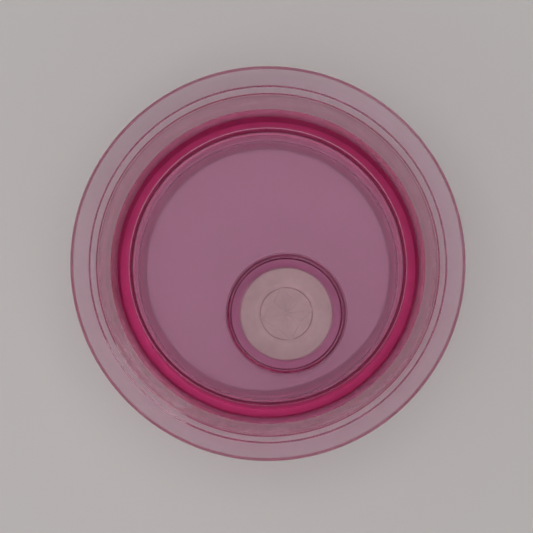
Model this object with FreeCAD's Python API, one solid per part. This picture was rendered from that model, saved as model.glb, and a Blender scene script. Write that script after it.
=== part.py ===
"""A spill-proof dappen dish for nail work: a flared dish over a closed reservoir.

The brush goes through a slit silicone valve that stands off-centre in the dish's floor.
Frame: millimetres, +Z up, origin at the centre of the foot ring's underside. The valve
lies towards -Y. Every round piece is a profile of (radius, height, rounding) corners,
turned about an upright axis.
"""
import FreeCAD, Part
import math
import os

# ---- driving dimensions -------------------------------------------------------------
RIM_RADIUS = 35.0
TOTAL_HEIGHT = 38.0
DISH_DEPTH = 18.0  # from the rim down to the top of the cover plate
BASE_THICKNESS = 2.5
WELL_RADIUS = 25.0  # inside of the reservoir, at the ledge that the plate rests on
WELL_DRAFT = 0.3  # the reservoir is this much narrower at its floor
BARREL_RADIUS = 28.5  # outside of the reservoir
FOOT_RADIUS = 29.2

PLATE_THICKNESS = 2.4
PLATE_RADIUS = 25.4
BORE_RADIUS = 25.7  # of the dish's floor, round the plate and its gasket
PLATE_CLEARANCE = 0.05  # radial, round everything that lifts out
GASKET_RECESS = 0.1  # from the plate's top down to the gasket

PORT_OFFSET = 9.4  # valve axis to dish axis
SEAT_RADIUS = 11.35
SEAT_WALL = 0.7
SEAT_STEP = 0.2  # the seat narrows by this below the shoulder it hangs from
SEAT_DEPTH = 5.6  # from the seat's top edge down to the face that the valve lies on
SEAT_PROUD = 0.5  # the seat's edge stands this far above the plate
SEAT_FLOOR = 4.2
SEAT_HOLE = 7.4

FLANGE_RADIUS = 8.9  # the valve's upper flange
FLANGE_THICKNESS = 1.1
BACK_FLANGE_RADIUS = 8.5
BACK_FLANGE_THICKNESS = 1.0
SLIT_RADIUS = 5.0  # from the valve's centre to the end of each slit
MEMBRANE = 0.9
MEMBRANE_DROP = 0.35  # from the flange's top down to the slit membrane
SLIT_GAP = 0.1
VALVE_TURN = -12.0  # degrees: how the pressed-in valve happens to stand in its seat
PETAL_COUNT = 4

FOOT_RING_INNER = 25.9
FOOT_RING_OUTER = 27.6
FOOT_RING_HEIGHT = 3.4  # at its inner edge, from where its top slopes down at 45 degrees
FOOT_RING_PROUD = 0.6
FIT = 0.02  # pressed pieces are drawn this far apart, so their faces do not cross

# ---- levels worked out from them ----------------------------------------------------
UNDERSIDE = FOOT_RING_PROUD
WELL_FLOOR = UNDERSIDE + BASE_THICKNESS
PLATE_TOP = TOTAL_HEIGHT - DISH_DEPTH
PLATE_UNDER = PLATE_TOP - PLATE_THICKNESS
LEDGE = PLATE_UNDER - PLATE_CLEARANCE
FOOT_RING_SHOULDER = FOOT_RING_HEIGHT - (FOOT_RING_OUTER - FOOT_RING_INNER)
PORT_STEP = PLATE_TOP - PLATE_THICKNESS / 2
SEAT_TOP = PLATE_TOP + SEAT_PROUD
SEAT_FACE = SEAT_TOP - SEAT_DEPTH
SEAT_UNDER = SEAT_FACE - SEAT_FLOOR
FLANGE_TOP = SEAT_FACE + FLANGE_THICKNESS
MEMBRANE_TOP = FLANGE_TOP - MEMBRANE_DROP
MEMBRANE_UNDER = MEMBRANE_TOP - MEMBRANE
HINGE_LEVEL = MEMBRANE_TOP - MEMBRANE / 2
SLIT_SQUARE = SLIT_RADIUS / math.sqrt(2)  # half a side of the square that the slits span
HINGE_RADIUS = SLIT_SQUARE - MEMBRANE / 2 - SLIT_GAP

UP = FreeCAD.Vector(0, 0, 1)
DISH_AXIS = FreeCAD.Vector(0, 0, 0)
PORT_AXIS = FreeCAD.Vector(0, -PORT_OFFSET, 0)


def at(radius, height):
    """A point of a profile, in the XZ plane."""
    return FreeCAD.Vector(radius, 0, height)


def rounded_face(corners):
    """A flat face from corners (radius, height, rounding), each rounding a tangent arc."""
    ends = []
    for i, (radius, height, rounding) in enumerate(corners):
        here = at(radius, height)
        if rounding == 0:
            ends.append((here, None, here))
            continue
        before = at(*corners[i - 1][:2]) - here
        after = at(*corners[(i + 1) % len(corners)][:2]) - here
        before.normalize()
        after.normalize()
        half = before.getAngle(after) / 2
        bisector = before + after
        bisector.normalize()
        reach = rounding / math.tan(half)
        middle = here + bisector * (rounding / math.sin(half) - rounding)
        ends.append((here + before * reach, middle, here + after * reach))
    edges = []
    for i, (start, middle, end) in enumerate(ends):
        if middle is not None:
            edges.append(Part.Arc(start, middle, end).toShape())
        following = ends[(i + 1) % len(ends)][0]
        if (following - end).Length > 1e-6:
            edges.append(Part.LineSegment(end, following).toShape())
    return Part.Face(Part.Wire(edges))


def turned(corners, axis_at=DISH_AXIS):
    """The solid that a profile makes when it is turned a full circle."""
    solid = rounded_face(corners).revolve(DISH_AXIS, UP, 360)
    solid.translate(axis_at)
    return solid


def vessel():
    """Dish, shoulder, barrel, base and foot: one moulding, open at the top."""
    top = TOTAL_HEIGHT
    reservoir = [
        (0, WELL_FLOOR, 0),
        (WELL_RADIUS - WELL_DRAFT, WELL_FLOOR, 2.0),
        (WELL_RADIUS, LEDGE, 0.15),
        (BORE_RADIUS, LEDGE, 0),
        (BORE_RADIUS + 0.1, top - 14.3, 0.08),
    ]
    dish_inside = [
        (29.05, top - 13.35, 0.03),
        (29.15, top - 13.7, 0.03),
        (29.25, top - 13.1, 0.05),
        (30.85, top - 6.5, 0.1),
        (31.1, top - 6.35, 0.05),
        (31.85, top - 4.1, 0.1),
        (32.15, top - 3.95, 0.05),
        (34.3, top - 0.4, 0.3),
        (34.5, top, 0.12),
    ]
    dish_outside = [
        (RIM_RADIUS, top, 0.2),
        (RIM_RADIUS, top - 1.0, 0.4),
        (32.65, top - 5.5, 1.5),
        (31.75, top - 7.9, 3.0),
        (30.25, top - 15.4, 0.8),
        (BARREL_RADIUS, top - 17.9, 0.5),
    ]
    foot = [
        (BARREL_RADIUS, UNDERSIDE + 3.0, 1.4),
        (FOOT_RADIUS, UNDERSIDE + 1.8, 0.5),
        (FOOT_RADIUS, UNDERSIDE, 0.4),
        (FOOT_RING_OUTER + FIT, UNDERSIDE, 0),
        (FOOT_RING_OUTER + FIT, FOOT_RING_SHOULDER + FIT, 0),
        (FOOT_RING_INNER - FIT, FOOT_RING_HEIGHT + 2 * FIT, 0),
        (FOOT_RING_INNER - FIT, UNDERSIDE, 0),
        (0, UNDERSIDE, 0),
    ]
    return turned(reservoir + dish_inside + dish_outside + foot)


def foot_ring():
    """Silicone ring pressed into the foot's groove. The dish stands on it."""
    edge = 0.3
    return turned([
        (FOOT_RING_INNER, 0, edge),
        (FOOT_RING_OUTER, 0, edge),
        (FOOT_RING_OUTER, FOOT_RING_SHOULDER, 0),
        (FOOT_RING_INNER, FOOT_RING_HEIGHT, 0),
    ])


def cover_plate():
    """Plate that drops into the dish's floor and closes the reservoir, with its stepped port."""
    plate = turned([
        (0, PLATE_TOP, 0),
        (PLATE_RADIUS, PLATE_TOP, 0.2),
        (PLATE_RADIUS, PLATE_UNDER, 0.1),
        (0, PLATE_UNDER, 0),
    ])
    wide = SEAT_RADIUS + PLATE_CLEARANCE
    narrow = wide - SEAT_STEP
    port = turned([
        (0, PLATE_TOP + 1, 0),
        (wide, PLATE_TOP + 1, 0),
        (wide, PORT_STEP, 0),
        (narrow, PORT_STEP, 0),
        (narrow, PLATE_UNDER - 1, 0),
        (0, PLATE_UNDER - 1, 0),
    ], PORT_AXIS)
    return plate.cut(port)


def cover_seal():
    """Gasket band round the plate's edge, between the plate and the bore."""
    inner = PLATE_RADIUS + FIT
    outer = BORE_RADIUS - FIT
    return turned([
        (inner, PLATE_UNDER, 0),
        (outer, PLATE_UNDER, 0),
        (outer, PLATE_TOP - GASKET_RECESS, 0),
        (inner, PLATE_TOP - GASKET_RECESS, 0),
    ])


def valve_seat():
    """Cup-shaped seat that hangs in the port by a step: thin wall, holed floor."""
    mouth = SEAT_RADIUS - SEAT_WALL
    waist = SEAT_RADIUS - SEAT_STEP
    hanging = PORT_STEP + PLATE_CLEARANCE
    return turned([
        (SEAT_HOLE, SEAT_UNDER, 0.1),
        (waist, SEAT_UNDER, 0.4),
        (waist, hanging, 0),
        (SEAT_RADIUS, hanging, 0),
        (SEAT_RADIUS, SEAT_TOP, 0.15),
        (mouth, SEAT_TOP, 0.15),
        (mouth, SEAT_FACE, 0.4),
        (SEAT_HOLE, SEAT_FACE, 0.1),
    ], PORT_AXIS)


def petal_angle(index):
    """The way petal number index points from the valve's centre, in degrees."""
    return 45.0 + VALVE_TURN + index * 360.0 / PETAL_COUNT


def placed_on_valve(solid, angle):
    """Turns a solid made along +X about the valve's centre, and puts it in the port."""
    solid.rotate(DISH_AXIS, UP, angle)
    solid.translate(PORT_AXIS)
    return solid


def valve_collar():
    """Silicone grommet that grips the seat's floor and carries the slit membrane."""
    neck = SEAT_HOLE - FIT
    bore = SLIT_RADIUS + 0.5
    back_top = SEAT_UNDER - FIT
    back_under = back_top - BACK_FLANGE_THICKNESS
    collar = turned([
        (0, MEMBRANE_TOP, 0),
        (SLIT_RADIUS + 0.1, MEMBRANE_TOP, 0),
        (SLIT_RADIUS + 0.45, FLANGE_TOP, 0.3),
        (FLANGE_RADIUS, FLANGE_TOP, 0.45),
        (FLANGE_RADIUS, SEAT_FACE + FIT, 0.1),
        (neck, SEAT_FACE + FIT, 0),
        (neck, back_top, 0),
        (BACK_FLANGE_RADIUS, back_top, 0.1),
        (BACK_FLANGE_RADIUS - 0.6, back_under, 0.3),
        (bore, back_under, 0.3),
        (bore, MEMBRANE_UNDER, 0.4),
        (0, MEMBRANE_UNDER, 0),
    ])
    corner = FreeCAD.Vector(-SLIT_SQUARE, -SLIT_SQUARE, MEMBRANE_UNDER - MEMBRANE)
    window = Part.makeBox(2 * SLIT_SQUARE, 2 * SLIT_SQUARE, 3 * MEMBRANE, corner)
    return placed_on_valve(collar.cut(window), petal_angle(0))


def valve_petal(index):
    """One flap between two slits, with a round root along its hinge line."""
    tip = 1.5 * SLIT_GAP
    side = HINGE_RADIUS - tip
    outline = [(tip, 0), (HINGE_RADIUS, side), (HINGE_RADIUS, -side)]
    points = [FreeCAD.Vector(x, y, MEMBRANE_UNDER) for x, y in outline]
    flap = Part.Face(Part.makePolygon(points + points[:1])).extrude(UP * MEMBRANE)
    root_end = side - MEMBRANE / 2
    root = Part.makeCylinder(MEMBRANE / 2, 2 * root_end,
                             FreeCAD.Vector(HINGE_RADIUS, -root_end, HINGE_LEVEL),
                             FreeCAD.Vector(0, 1, 0))
    return placed_on_valve(flap.fuse(root).removeSplitter(), petal_angle(index))


def main():
    os.makedirs("parts", exist_ok=True)
    pieces = {
        "vessel": vessel(),
        "foot_ring": foot_ring(),
        "cover_plate": cover_plate(),
        "cover_seal": cover_seal(),
        "valve_seat": valve_seat(),
        "valve_collar": valve_collar(),
    }
    for index in range(PETAL_COUNT):
        pieces[f"valve_petal_{index + 1}"] = valve_petal(index)
    for name, solid in pieces.items():
        solid.exportStep(f"parts/{name}.step")
        print(name, "valid" if solid.isValid() else "NOT VALID", len(solid.Solids), "solid",
              round(solid.Volume, 2), "mm3")
    for index in range(PETAL_COUNT):
        angle = math.radians(petal_angle(index))
        print("petal", index + 1, "hinge at", round(HINGE_RADIUS * math.cos(angle), 5),
              round(HINGE_RADIUS * math.sin(angle) - PORT_OFFSET, 5), HINGE_LEVEL, "axis",
              round(-math.sin(angle), 6), round(math.cos(angle), 6))


main()
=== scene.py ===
# %% [markdown]
# # A spill-proof dappen dish
# A nail worker keeps liquid in this dish. The liquid stands under a drop-in plate, out of reach of a
# knock, and the brush goes down to it through a white silicone valve. Dish, plate and valve seat are
# clear rose plastic. This lesson loads the working model first, because most sizes and places are read
# from it.

# %% Load the working model
import math

import bmesh
import bpy
from mathutils import Matrix, Vector


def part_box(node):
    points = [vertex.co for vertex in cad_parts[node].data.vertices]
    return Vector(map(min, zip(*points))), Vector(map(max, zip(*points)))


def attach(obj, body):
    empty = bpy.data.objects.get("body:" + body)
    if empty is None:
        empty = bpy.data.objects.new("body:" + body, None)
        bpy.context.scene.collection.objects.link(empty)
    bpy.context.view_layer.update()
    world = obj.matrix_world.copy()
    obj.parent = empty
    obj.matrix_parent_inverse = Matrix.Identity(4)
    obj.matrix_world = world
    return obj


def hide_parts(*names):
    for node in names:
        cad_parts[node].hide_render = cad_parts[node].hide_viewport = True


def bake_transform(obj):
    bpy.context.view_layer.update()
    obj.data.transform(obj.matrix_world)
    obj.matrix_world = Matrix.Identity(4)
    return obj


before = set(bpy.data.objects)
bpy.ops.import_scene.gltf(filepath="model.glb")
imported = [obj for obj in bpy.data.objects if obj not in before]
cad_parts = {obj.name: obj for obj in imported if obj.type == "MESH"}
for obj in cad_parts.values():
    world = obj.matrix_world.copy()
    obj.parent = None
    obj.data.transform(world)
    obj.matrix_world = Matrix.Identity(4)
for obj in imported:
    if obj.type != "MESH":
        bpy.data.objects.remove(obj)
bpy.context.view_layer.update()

MM = 0.001  # Blender works in metres, and this lesson counts in millimetres

# %% [markdown]
# ## Sizes
# Whatever the working model can tell is read from its boxes. The few radii that no box shows, such as a
# shoulder's, are named here once, in millimetres.

# %% Sizes read from the working model


def box_mm(node):
    """Lowest and highest corner of a node of the working model, in millimetres."""
    low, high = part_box(node)
    return low / MM, high / MM


vessel_low, vessel_high = box_mm("vessel")
plate_low, plate_high = box_mm("cover_plate")
seat_low, seat_high = box_mm("valve_seat")
collar_low, collar_high = box_mm("valve_collar")
ring_low, ring_high = box_mm("foot_ring")
petal_low, petal_high = box_mm("valve_petal_1")

RIM_RADIUS = vessel_high.x
RIM_LEVEL = vessel_high.z
UNDERSIDE = vessel_low.z
PLATE_RADIUS = plate_high.x
PLATE_TOP = plate_high.z
SEAT_RADIUS = seat_high.x
SEAT_TOP = seat_high.z
SEAT_UNDER = seat_low.z
FLANGE_RADIUS = collar_high.x
FLANGE_TOP = collar_high.z
FOOT_RING_OUTER = ring_high.x
FOOT_RING_TOP = ring_high.z
PORT_Y = (collar_low.y + collar_high.y) / 2
MEMBRANE_TOP = petal_high.z
MEMBRANE_UNDER = petal_low.z
print("rim", RIM_RADIUS, "plate", PLATE_RADIUS, "port at", PORT_Y)

# %% Sizes that no box shows
CLEARANCE = 0.05  # round everything that lifts out
BASE_THICKNESS = 2.5
PLATE_THICKNESS = 2.4
PLATE_UNDER = PLATE_TOP - PLATE_THICKNESS
WELL_RADIUS = 25.0
WELL_DRAFT = 0.3
BARREL_RADIUS = 28.5
FOOT_RADIUS = 29.2
FOOT_RING_INNER = 25.9
BORE_RADIUS = 25.7
GASKET_RECESS = 0.1
SEAT_WALL = 0.7
SEAT_STEP = 0.2
SEAT_HOLE = 7.4
SEAT_FLOOR = 4.2
PORT_STEP = PLATE_TOP - PLATE_THICKNESS / 2
SLIT_RADIUS = 5.0
VALVE_TURN = math.radians(-12)
FIT = 0.02
WETTING = 0.03  # the foot ring's top lies this deep in the plastic, with no air between them
LEDGE = PLATE_UNDER - CLEARANCE
FOOT_RING_SHOULDER = FOOT_RING_TOP - (FOOT_RING_OUTER - FOOT_RING_INNER)

# %% [markdown]
# ## Turned shapes
# Every round piece here is one profile turned about an upright axis. The profile starts as a circle
# primitive with as many points as the profile has corners. Each point goes to its corner, a vertex bevel
# rounds it, and Spin turns the line into a wall.

# %% A profile and its turning
SPIN_STEPS = 180
ROUNDING_SEGMENTS = 6


def deselect_all():
    bpy.ops.object.select_all(action="DESELECT")


def corner_reach(before, here, after, rounding):
    """How far back from a corner a rounding of that radius starts."""
    half = (before - here).angle(after - here) / 2
    return rounding / math.tan(half)


def select_vertex_at(mesh, place):
    """Selects the one vertex that lies at a place."""
    for vertex in mesh.verts:
        vertex.select = (vertex.co - place).length < 1e-6
    mesh.select_flush(True)


def draw_profile(name, corners):
    """A closed line through (radius, height, rounding) corners in mm. Edges on the axis are left out."""
    deselect_all()
    bpy.ops.mesh.primitive_circle_add(vertices=len(corners), radius=10 * MM)
    piece = bpy.context.object
    piece.name = piece.data.name = name
    places = [Vector((r * MM, 0, z * MM)) for r, z, rounding in corners]
    bpy.ops.object.mode_set(mode="EDIT")
    mesh = bmesh.from_edit_mesh(piece.data)
    mesh.verts.ensure_lookup_table()
    for vertex, place in zip(mesh.verts, places):
        vertex.co = place
    axis_edges = [e for e in mesh.edges if all(v.co.x < 1e-7 for v in e.verts)]
    bmesh.ops.delete(mesh, geom=axis_edges, context="EDGES")
    bmesh.update_edit_mesh(piece.data)
    for i, (radius, height, rounding) in enumerate(corners):
        if rounding:
            after = places[(i + 1) % len(places)]
            reach = corner_reach(places[i - 1], places[i], after, rounding * MM)
            mesh = bmesh.from_edit_mesh(piece.data)
            select_vertex_at(mesh, places[i])
            bmesh.update_edit_mesh(piece.data)
            bpy.ops.mesh.bevel(offset=reach, segments=ROUNDING_SEGMENTS, affect="VERTICES")
    return piece


def finish_mesh(piece, smooth_degrees=40):
    """Merges doubles, turns every face outwards and shades what is round as round."""
    bpy.ops.mesh.select_all(action="SELECT")
    bpy.ops.mesh.remove_doubles(threshold=1e-6)
    bpy.ops.mesh.normals_make_consistent(inside=False)
    bpy.ops.object.mode_set(mode="OBJECT")
    bpy.ops.object.shade_smooth_by_angle(angle=math.radians(smooth_degrees))
    print(piece.name, len(piece.data.polygons), "faces")
    return piece


def place_at(piece, x, y, z=0):
    """Moves a piece and keeps its object at the origin."""
    deselect_all()
    piece.select_set(True)
    bpy.context.view_layer.objects.active = piece
    piece.location = (x * MM, y * MM, z * MM)
    bpy.ops.object.transform_apply(location=True, rotation=True, scale=True)
    return piece


def turned(name, corners, y=0):
    """A closed piece from a profile, turned about an upright axis through (0, y)."""
    piece = draw_profile(name, corners)
    bpy.ops.mesh.select_all(action="SELECT")
    bpy.ops.mesh.spin(steps=SPIN_STEPS, angle=2 * math.pi, center=(0, 0, 0), axis=(0, 0, 1))
    finish_mesh(piece)
    return place_at(piece, 0, y)


# %% [markdown]
# ## Colours and nodes
# Colours are written as a web page writes them. Blender wants them linear, so one function turns them.

# %% Colour and node helpers


def colour(code):
    """A colour such as #D9487F as linear red, green, blue and alpha."""
    parts = [int(code[i:i + 2], 16) / 255 for i in (1, 3, 5)]
    return [p / 12.92 if p <= 0.04045 else ((p + 0.055) / 1.055) ** 2.4 for p in parts] + [1.0]


def add(material, kind, settings=None, links=None):
    """Adds a node. settings gives socket or property values, links gives socket: (node, its output)."""
    node = material.node_tree.nodes.new(kind)
    for key, value in (settings or {}).items():
        if key in node.inputs:
            node.inputs[key].default_value = value
        else:
            setattr(node, key, value)
    for key, (source, output) in (links or {}).items():
        material.node_tree.links.new(source.outputs[output], node.inputs[key])
    return node


def math_node(material, operation, first, second):
    """A Math node. Each operand is a number or a (node, its output)."""
    node = add(material, "ShaderNodeMath", {"operation": operation})
    for socket, operand in zip(node.inputs, (first, second)):
        if isinstance(operand, tuple):
            material.node_tree.links.new(operand[0].outputs[operand[1]], socket)
        else:
            socket.default_value = operand
    return node


def new_material(name):
    """An empty material with its output node."""
    material = bpy.data.materials.new(name)
    material.use_nodes = True
    material.node_tree.nodes.clear()
    return material, add(material, "ShaderNodeOutputMaterial")


def finish_material(material, output, shader, volume=None):
    """Links the shader, and the volume if there is one, to the output."""
    material.node_tree.links.new(shader.outputs[0], output.inputs["Surface"])
    if volume:
        material.node_tree.links.new(volume.outputs[0], output.inputs["Volume"])
    return material


def dress(piece, material):
    """Gives a piece one material."""
    piece.data.materials.clear()
    piece.data.materials.append(material)
    return piece


# %% [markdown]
# ## Clear rose plastic
# A clear stiff plastic, coloured through and moulded in a polished tool. The colour is in its depth: 2 mm
# of it looks pale rose, and 20 mm, as along a wall seen from its end, looks deep magenta. So the surface
# is colourless, and a plain absorption in the volume does the colouring. The polish isn't perfect. Wiping
# leaves a haze of hairlines, which goes into roughness and a little bump, the rim's edge is scuffed, and
# the flare's underside is satin.

# %% Values of the clear rose plastic
ABSORB_RED, ABSORB_GREEN, ABSORB_BLUE = 5.0, 103.0, 46.0  # absorption per metre of path
POLISHED, HAZY = 0.02, 0.10  # roughness where the polish is best and where the haze is thickest
SCUFF = 0.5  # roughness added at the rim's edge
SCUFF_DEPTH = 0.5
SATIN = 0.3  # roughness added on the flare's underside

# %% Its roughness and bump


def plastic_roughness(material, place):
    """Polish with a haze, a scuffed rim and a satin underside. The satin follows the wall's own slope."""
    haze = add(material, "ShaderNodeTexNoise", {"Scale": 1 / (9 * MM), "Detail": 4.0},
               {"Vector": (place, "Object")})
    polish = add(material, "ShaderNodeMapRange",
                 {"From Min": 0.35, "From Max": 0.75, "To Min": POLISHED, "To Max": HAZY},
                 {"Value": (haze, "Fac")})
    level = add(material, "ShaderNodeSeparateXYZ", {}, {"Vector": (place, "Object")})
    scuffed = add(material, "ShaderNodeMapRange",
                  {"From Min": (RIM_LEVEL - SCUFF_DEPTH) * MM, "From Max": RIM_LEVEL * MM,
                   "To Min": 0.0, "To Max": SCUFF}, {"Value": (level, "Z")})
    facing = add(material, "ShaderNodeNewGeometry")
    normal = add(material, "ShaderNodeSeparateXYZ", {}, {"Vector": (facing, "True Normal")})
    outward = add(material, "ShaderNodeMapRange", {"To Min": 1.0, "To Max": -1.0},
                  {"Value": (facing, "Backfacing")})
    slope = math_node(material, "MULTIPLY", (normal, "Z"), (outward, "Result"))
    below = add(material, "ShaderNodeMapRange",
                {"From Min": -0.1, "From Max": -0.2, "To Min": 0.0, "To Max": SATIN},
                {"Value": (slope, "Value")})
    above_plate = math_node(material, "GREATER_THAN", (level, "Z"), (PLATE_TOP - 1) * MM)
    satin = math_node(material, "MULTIPLY", (below, "Result"), (above_plate, "Value"))
    rubbed = math_node(material, "ADD", (polish, "Result"), (scuffed, "Result"))
    return math_node(material, "ADD", (rubbed, "Value"), (satin, "Value"))


def plastic_bump(material, place):
    """Fine hairlines, over the slow waves that a moulded wall has."""
    stretched = add(material, "ShaderNodeMapping", {"Rotation": (0, 0, 0.6), "Scale": (1.0, 0.04, 1.0)},
                    {"Vector": (place, "Object")})
    hairlines = add(material, "ShaderNodeTexNoise", {"Scale": 1 / (0.25 * MM), "Detail": 2.0},
                    {"Vector": (stretched, "Vector")})
    scratched = add(material, "ShaderNodeBump", {"Strength": 0.05, "Distance": 0.02 * MM},
                    {"Height": (hairlines, "Fac")})
    waves = add(material, "ShaderNodeTexNoise", {"Scale": 1 / (7 * MM), "Detail": 1.0},
                {"Vector": (place, "Object")})
    return add(material, "ShaderNodeBump", {"Strength": 0.35, "Distance": 0.05 * MM},
               {"Height": (waves, "Fac"), "Normal": (scratched, "Normal")})


# %% The clear rose plastic


def clear_plastic(name):
    material, output = new_material(name)
    place = add(material, "ShaderNodeTexCoord")
    shader = add(material, "ShaderNodeBsdfPrincipled",
                 {"Base Color": colour("#FFFFFF"), "IOR": 1.49, "Transmission Weight": 1.0},
                 {"Roughness": (plastic_roughness(material, place), "Value"),
                  "Normal": (plastic_bump(material, place), "Normal")})
    density = max(ABSORB_RED, ABSORB_GREEN, ABSORB_BLUE) * 1.02
    keeps = [1 - absorbed / density for absorbed in (ABSORB_RED, ABSORB_GREEN, ABSORB_BLUE)]
    volume = add(material, "ShaderNodeVolumeAbsorption", {"Color": keeps + [1.0], "Density": density})
    return finish_material(material, output, shader, volume)


rose_plastic = clear_plastic("rose_clear_moulded_plastic")
print("made", rose_plastic.name)

# %% [markdown]
# ## Silicone rubber
# The valve is off-white silicone, moulded and soft, with a dull sheen. It lets a little light in, and its
# tone is faintly uneven. Its colour also carries a painted pink tinge, which stands in for light bounced
# from the rose plastic. The foot ring is a paler silicone, and the gasket a wine-red rubber.

# %% Silicone


def silicone(name, clean, stained, roughness, translucency):
    material, output = new_material(name)
    place = add(material, "ShaderNodeTexCoord")
    cloud = add(material, "ShaderNodeTexNoise", {"Scale": 1 / (3 * MM), "Detail": 5.0},
                {"Vector": (place, "Object")})
    tone = add(material, "ShaderNodeValToRGB", {}, {"Fac": (cloud, "Fac")})
    tone.color_ramp.elements[0].position = 0.35
    tone.color_ramp.elements[0].color = colour(stained)
    tone.color_ramp.elements[1].position = 0.65
    tone.color_ramp.elements[1].color = colour(clean)
    grain = add(material, "ShaderNodeTexNoise", {"Scale": 1 / (0.3 * MM), "Detail": 3.0},
                {"Vector": (place, "Object")})
    bump = add(material, "ShaderNodeBump", {"Strength": 0.25, "Distance": 0.02 * MM},
               {"Height": (grain, "Fac")})
    shader = add(material, "ShaderNodeBsdfPrincipled",
                 {"Roughness": roughness, "IOR": 1.41, "Subsurface Weight": translucency,
                  "Subsurface Scale": 0.6 * MM, "Subsurface Radius": (1.0, 0.8, 0.7)},
                 {"Base Color": (tone, "Color"), "Normal": (bump, "Normal")})
    return finish_material(material, output, shader)


# The valve's colour is off-white silicone plus a painted pink tinge, which stands in for pink bounce light.
pink_painted_valve_rubber = silicone("off_white_valve_rubber_painted_pink", "#E0BEC3", "#D6B4BA", 0.5, 0.25)
foot_silicone = silicone("pale_foot_silicone", "#EFE4E4", "#E6DADA", 0.6, 0.3)
gasket_rubber = silicone("wine_gasket_rubber", "#8E2F55", "#842A4E", 0.5, 0.0)
print("made", pink_painted_valve_rubber.name, foot_silicone.name, gasket_rubber.name)

# %% [markdown]
# ## The vessel
# One moulding: a narrow rim, a steep flare with two fine ridges, a shoulder, and a barrel whose wall
# stands upright. Seen from above that wall is 20 mm deep, which makes the deep ring. It is one turned
# profile, drawn from the reservoir's floor up the inside, over the rim and down the outside to the foot.

# %% The vessel
RESERVOIR = [
    (0, UNDERSIDE + BASE_THICKNESS, 0),
    (WELL_RADIUS - WELL_DRAFT, UNDERSIDE + BASE_THICKNESS, 2.0),
    (WELL_RADIUS, LEDGE, 0.15),
    (BORE_RADIUS, LEDGE, 0),
    (BORE_RADIUS + 0.1, RIM_LEVEL - 14.3, 0.08),
]
DISH_INSIDE = [
    (29.05, RIM_LEVEL - 13.35, 0.03),
    (29.15, RIM_LEVEL - 13.7, 0.03),
    (29.25, RIM_LEVEL - 13.1, 0.05),
    (30.85, RIM_LEVEL - 6.5, 0.1),
    (31.1, RIM_LEVEL - 6.35, 0.05),
    (31.85, RIM_LEVEL - 4.1, 0.1),
    (32.15, RIM_LEVEL - 3.95, 0.05),
    (34.3, RIM_LEVEL - 0.4, 0.3),
    (34.5, RIM_LEVEL, 0.12),
]
DISH_OUTSIDE = [
    (RIM_RADIUS, RIM_LEVEL, 0.2),
    (RIM_RADIUS, RIM_LEVEL - 1.0, 0.4),
    (32.65, RIM_LEVEL - 5.5, 1.5),
    (31.75, RIM_LEVEL - 7.9, 3.0),
    (30.25, RIM_LEVEL - 15.4, 0.8),
    (BARREL_RADIUS, RIM_LEVEL - 17.9, 0.5),
]
FOOT = [
    (BARREL_RADIUS, UNDERSIDE + 3.0, 1.4),
    (FOOT_RADIUS, UNDERSIDE + 1.8, 0.5),
    (FOOT_RADIUS, UNDERSIDE, 0.4),
    (FOOT_RING_OUTER + FIT, UNDERSIDE, 0),
    (FOOT_RING_OUTER + FIT, FOOT_RING_SHOULDER - WETTING, 0),
    (FOOT_RING_INNER - FIT, FOOT_RING_TOP - WETTING, 0),
    (FOOT_RING_INNER - FIT, UNDERSIDE, 0),
    (0, UNDERSIDE, 0),
]
vessel = dress(turned("flared_vessel", RESERVOIR + DISH_INSIDE + DISH_OUTSIDE + FOOT), rose_plastic)

# %% [markdown]
# ## The foot ring
# A soft pale ring in a groove under the barrel. It keeps the dish from sliding. Its top slopes outwards
# and lies against the plastic with no air between, so it throws light up the barrel's wall.

# %% The foot ring
foot_ring = dress(turned("foot_ring_rubber", [
    (FOOT_RING_INNER, 0, 0.3),
    (FOOT_RING_OUTER, 0, 0.3),
    (FOOT_RING_OUTER, FOOT_RING_SHOULDER, 0.08),
    (FOOT_RING_INNER, FOOT_RING_TOP, 0.08),
]), foot_silicone)

# %% [markdown]
# ## The cover plate
# A plain disc with a stepped port off-centre. The disc is turned, and the port is cut with a Boolean,
# because it has another axis.

# %% The cover plate
cover_plate = turned("drop_in_plate", [
    (0, PLATE_TOP, 0),
    (PLATE_RADIUS, PLATE_TOP, 0.2),
    (PLATE_RADIUS, PLATE_UNDER, 0.1),
    (0, PLATE_UNDER, 0),
])
WIDE = SEAT_RADIUS + CLEARANCE
NARROW = WIDE - SEAT_STEP
port_cutter = turned("port_cutter", [
    (0, PLATE_TOP + 1, 0),
    (WIDE, PLATE_TOP + 1, 0),
    (WIDE, PORT_STEP, 0),
    (NARROW, PORT_STEP, 0),
    (NARROW, PLATE_UNDER - 1, 0),
    (0, PLATE_UNDER - 1, 0),
], PORT_Y)


def cut(piece, cutter):
    """Cuts one closed piece with another, which is then removed."""
    deselect_all()
    piece.select_set(True)
    bpy.context.view_layer.objects.active = piece
    tool = piece.modifiers.new("cut", "BOOLEAN")
    tool.object = cutter
    tool.solver = "EXACT"
    bpy.ops.object.modifier_apply(modifier=tool.name)
    bpy.data.objects.remove(cutter)
    bpy.ops.object.shade_smooth_by_angle(angle=math.radians(40))
    return piece


dress(cut(cover_plate, port_cutter), rose_plastic)
print("plate now has", len(cover_plate.data.polygons), "faces")

# %% [markdown]
# ## The gasket
# A thin band of dark rubber round the plate's edge. It fills the gap between the plate and the dish.

# %% The gasket
gasket = dress(turned("plate_gasket", [
    (PLATE_RADIUS + FIT, PLATE_UNDER, 0),
    (BORE_RADIUS - FIT, PLATE_UNDER, 0),
    (BORE_RADIUS - FIT, PLATE_TOP - GASKET_RECESS, 0),
    (PLATE_RADIUS + FIT, PLATE_TOP - GASKET_RECESS, 0),
]), gasket_rubber)

# %% [markdown]
# ## The valve seat
# A thin cup that hangs in the port by a step in its wall. Its edge is rounded and stands half a
# millimetre proud.

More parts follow.
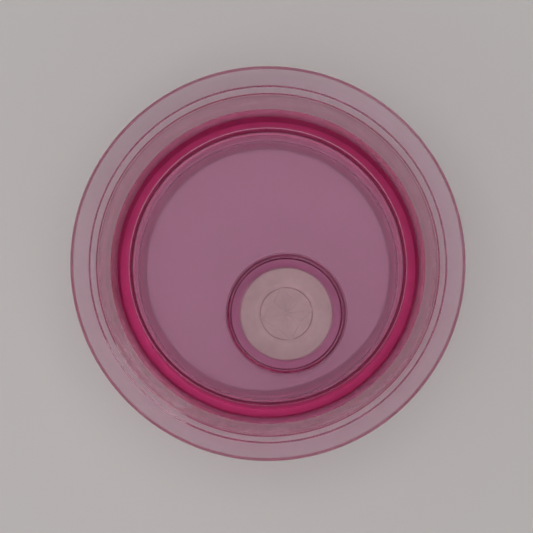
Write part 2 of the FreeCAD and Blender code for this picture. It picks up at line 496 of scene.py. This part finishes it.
# %% The valve seat
SEAT_FACE = SEAT_UNDER + SEAT_FLOOR
MOUTH = SEAT_RADIUS - SEAT_WALL
WAIST = SEAT_RADIUS - SEAT_STEP
HANGING = PORT_STEP + CLEARANCE
valve_seat = dress(turned("valve_seat_cup", [
    (SEAT_HOLE, SEAT_UNDER, 0.1),
    (WAIST, SEAT_UNDER, 0.4),
    (WAIST, HANGING, 0),
    (SEAT_RADIUS, HANGING, 0),
    (SEAT_RADIUS, SEAT_TOP, 0.15),
    (MOUTH, SEAT_TOP, 0.15),
    (MOUTH, SEAT_FACE, 0.4),
    (SEAT_HOLE, SEAT_FACE, 0.1),
], PORT_Y), rose_plastic)

# %% [markdown]
# ## The valve's collar
# A silicone grommet: a wide flange above the seat's floor, a neck through its hole and a smaller flange
# under it. Its edge wanders a little, and a Displace modifier with soft clouds gives that wander.

# %% The valve's collar
NECK = SEAT_HOLE - FIT
BORE = SLIT_RADIUS + 0.5
BACK_TOP = SEAT_UNDER - FIT
BACK_UNDER = collar_low.z
WINDOW = SLIT_RADIUS + 0.02
BACK_FLANGE = 8.5


def wander(piece, size, strength):
    """Lets a soft piece's surface wander by up to half of strength, in swells of that size."""
    clouds = bpy.data.textures.new(piece.name + "_wander", "CLOUDS")
    clouds.noise_scale = size * MM
    deselect_all()
    piece.select_set(True)
    bpy.context.view_layer.objects.active = piece
    tool = piece.modifiers.new("wander", "DISPLACE")
    tool.texture = clouds
    tool.texture_coords = "LOCAL"
    tool.strength = strength * MM
    bpy.ops.object.modifier_apply(modifier=tool.name)
    return piece


valve_collar = turned("slit_valve_collar", [
    (WINDOW, MEMBRANE_UNDER, 0.1),
    (WINDOW, MEMBRANE_TOP - 0.1, 0.08),
    (WINDOW + 0.8, FLANGE_TOP, 0.6),
    (FLANGE_RADIUS - 0.05, FLANGE_TOP, 0.45),
    (FLANGE_RADIUS - 0.05, SEAT_FACE + FIT, 0.1),
    (NECK, SEAT_FACE + FIT, 0),
    (NECK, BACK_TOP, 0),
    (BACK_FLANGE, BACK_TOP, 0.1),
    (BACK_FLANGE - 0.6, BACK_UNDER, 0.3),
    (BORE, BACK_UNDER, 0.3),
    (BORE, MEMBRANE_UNDER, 0.3),
], PORT_Y)
dress(wander(valve_collar, 6, 0.06), pink_painted_valve_rubber)

# %% [markdown]
# ## The valve's four flaps
# Two crossed slits part the membrane into four flaps, whose tops fall off softly at the edges. A flap starts
# as a disc, and two bisects leave a quarter of it. Its top is drawn in and raised step by step, and
# smoothed on the way, so that the top's corners come out rounder than the slits' corners.

# %% One flap
SLIT_GAP = 0.028  # how far each flap stops short of the middle of its slit
FLAP_RADIUS = SLIT_RADIUS - 0.01
GROOVE_LEVEL = MEMBRANE_TOP - 0.2
SLIT_CUTS = 23
# Each step draws the face in to this share, raises it by this many mm and smooths it this often.
PILLOW = [(0.93, 0.04, 9), (0.96, 0.1, 3), (0.95, 0.06, 1), (0.96, 0.0, 0)]


def extrude_in(share, rise, centre, smoothings):
    """Extrudes the selected face, draws it in towards a centre and raises it."""
    bpy.ops.mesh.extrude_region_move(TRANSFORM_OT_translate={"value": (0, 0, rise * MM)})
    bpy.ops.transform.resize(value=(share, share, 1), center_override=centre)
    if smoothings:
        bpy.ops.mesh.vertices_smooth(factor=0.5, repeat=smoothings, zaxis=False)


def make_flap(name, direction):
    """A quarter of the slit membrane, with its pillow, pointing in a direction from the valve's centre."""
    deselect_all()
    bpy.ops.mesh.primitive_circle_add(vertices=160, radius=FLAP_RADIUS * MM, fill_type="NGON")
    piece = bpy.context.object
    piece.name = piece.data.name = name
    bpy.ops.object.mode_set(mode="EDIT")
    for side in (-1, 1):
        lean = direction + side * math.radians(45)
        across = Vector((math.cos(lean - side * math.pi / 2), math.sin(lean - side * math.pi / 2), 0))
        bpy.ops.mesh.select_all(action="SELECT")
        bpy.ops.mesh.bisect(plane_co=across * SLIT_GAP * MM, plane_no=-across, clear_outer=True)
    bpy.ops.mesh.select_all(action="SELECT")
    mesh = bmesh.from_edit_mesh(piece.data)
    slit_edges = [e for e in mesh.edges if e.calc_length() > 1.0 * MM]
    bmesh.ops.subdivide_edges(mesh, edges=slit_edges, cuts=SLIT_CUTS)
    bmesh.update_edit_mesh(piece.data)
    reach = 0.6 * FLAP_RADIUS * MM
    centre = Vector((reach * math.cos(direction), reach * math.sin(direction), 0))
    bpy.ops.mesh.select_all(action="SELECT")
    bpy.ops.transform.translate(value=(0, 0, MEMBRANE_UNDER * MM))
    extrude_in(1.0, GROOVE_LEVEL - MEMBRANE_UNDER, centre, 0)
    for share, rise, smoothings in PILLOW:
        extrude_in(share, rise, centre, smoothings)
    finish_mesh(piece, 60)
    return place_at(piece, 0, PORT_Y)


flaps = []
for index in range(4):
    direction = VALVE_TURN + math.radians(45 + 90 * index)
    flaps.append(dress(make_flap(f"valve_flap_{index + 1}", direction), pink_painted_valve_rubber))

# %% [markdown]
# ## What moves with what
# Each piece but the flaps rides on a body of the working model. A flap isn't hinged like a door: it bends
# out of the collar. Here each flap is only fixed where it stands, and its petal in the working model is
# hidden.

# %% Bodies
for piece, body, node, slot in (
    (vessel, "vessel", "vessel", "tinted_plastic"),
    (foot_ring, "vessel", "foot_ring", "foot_silicone"),
    (cover_plate, "cover", "cover_plate", "tinted_plastic"),
    (gasket, "cover", "cover_seal", "seal_silicone"),
    (valve_seat, "valve", "valve_seat", "tinted_plastic"),
    (valve_collar, "valve", "valve_collar", "valve_silicone"),
):
    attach(piece, body)
    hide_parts(node)

for index, flap in enumerate(flaps):
    direction = VALVE_TURN + math.radians(45 + 90 * index)
    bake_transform(flap)
    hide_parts(f"valve_petal_{index + 1}")

# %% [markdown]
# ## Studio
# A plain pale table, a soft lamp on the far side that shows as a glint, a lamp overhead, and a room that
# is brightest near the horizon. The camera looks almost straight down from 30 cm above the rim.

# %% Table
deselect_all()
bpy.ops.mesh.primitive_plane_add(size=3.0, location=(0, 0, 0))
table = bpy.context.object
table.name = "table"
table_paint, output = new_material("pale_table_paint")
finish_material(table_paint, output, add(table_paint, "ShaderNodeBsdfPrincipled",
                                         {"Base Color": colour("#D8D5D3"), "Roughness": 0.7}))
dress(table, table_paint)
print("staged", table.name)

# %% Light
# Strength of the room's light at each height, which is the sine of the angle above the horizon.
WORLD_LIGHT = [(0.001, 2.2), (0.25, 1.8), (0.5, 0.5), (0.9, 0.1), (0.999, 0.08)]
DIM_SIDE, BRIGHT_SIDE = 0.6, 1.4  # share of that light on the room's two sides
VIEW_TURN = math.radians(-21.8)
VIEW_RIGHT = Vector((math.cos(VIEW_TURN), math.sin(VIEW_TURN), 0))
VIEW_DOWN = Vector((math.sin(VIEW_TURN), -math.cos(VIEW_TURN), 0))


def soft_lamp(name, place, size, power, tint):
    """A square area lamp that looks at the dish."""
    data = bpy.data.lights.new(name, "AREA")
    data.size = size
    data.energy = power
    data.color = colour(tint)[:3]
    lamp = bpy.data.objects.new(name, data)
    lamp.location = place
    lamp.rotation_euler = (-place).to_track_quat("-Z", "Y").to_euler()
    bpy.context.scene.collection.objects.link(lamp)
    return lamp


window = soft_lamp("window", VIEW_RIGHT * 0.6 - VIEW_DOWN * 0.63 + Vector((0, 0, 0.5)), 0.5, 2.6, "#FFFFFF")
window.visible_diffuse = False
window.visible_transmission = False
overhead = soft_lamp("overhead", Vector((0, 0, 1.0)), 0.7, 2.6, "#FFFFFF")
overhead.visible_glossy = False
world = bpy.data.worlds.new("room")
bpy.context.scene.world = world
world.use_nodes = True
background = world.node_tree.nodes["Background"]
background.inputs["Color"].default_value = colour("#F2F0F0")
heading = add(world, "ShaderNodeTexCoord")
split = add(world, "ShaderNodeSeparateXYZ", {}, {"Vector": (heading, "Generated")})
sky = add(world, "ShaderNodeValToRGB", {}, {"Fac": (split, "Z")})
for height, strength in WORLD_LIGHT:
    sky.color_ramp.elements.new(height).color = (strength, strength, strength, 1.0)
sky.color_ramp.elements.remove(sky.color_ramp.elements[0])
sky.color_ramp.elements.remove(sky.color_ramp.elements[-1])
side = add(world, "ShaderNodeVectorMath", {"operation": "DOT_PRODUCT"})
world.node_tree.links.new(heading.outputs["Generated"], side.inputs[0])
side.inputs[1].default_value = (VIEW_DOWN - VIEW_RIGHT).normalized()
lean = add(world, "ShaderNodeMapRange",
           {"From Min": -1.0, "From Max": 1.0, "To Min": DIM_SIDE, "To Max": BRIGHT_SIDE},
           {"Value": (side, "Value")})
product = math_node(world, "MULTIPLY", (sky, "Color"), (lean, "Result"))
world.node_tree.links.new(product.outputs["Value"], background.inputs["Strength"])
bpy.context.scene.view_settings.view_transform = "Standard"
bpy.context.scene.cycles.max_bounces = 32
bpy.context.scene.cycles.transmission_bounces = 32
bpy.context.scene.cycles.glossy_bounces = 16
print("lit by", window.name, overhead.name, "and the", world.name)

# %% Camera
CAMERA_HEIGHT = 300.0  # above the rim
CAMERA_SHIFT = 13.6  # off the dish's axis, towards the bottom of the picture
camera_data = bpy.data.cameras.new("camera")
camera_data.sensor_width = 36.0
camera_data.lens = 114.6
camera = bpy.data.objects.new("camera", camera_data)
bpy.context.scene.collection.objects.link(camera)
camera_place = Vector((0, 0, (RIM_LEVEL + CAMERA_HEIGHT) * MM)) + VIEW_DOWN * CAMERA_SHIFT * MM
aim = Vector((0, 0, RIM_LEVEL * MM)) + VIEW_DOWN * 0.7 * MM - VIEW_RIGHT * 0.25 * MM
looks = (aim - camera_place).normalized()
up = (-VIEW_DOWN - looks * looks.dot(-VIEW_DOWN)).normalized()
right = looks.cross(up)
camera.matrix_world = Matrix.Translation(camera_place) @ Matrix((right, up, -looks)).transposed().to_4x4()
bpy.context.scene.camera = camera
print("camera at", tuple(round(c, 4) for c in camera_place))
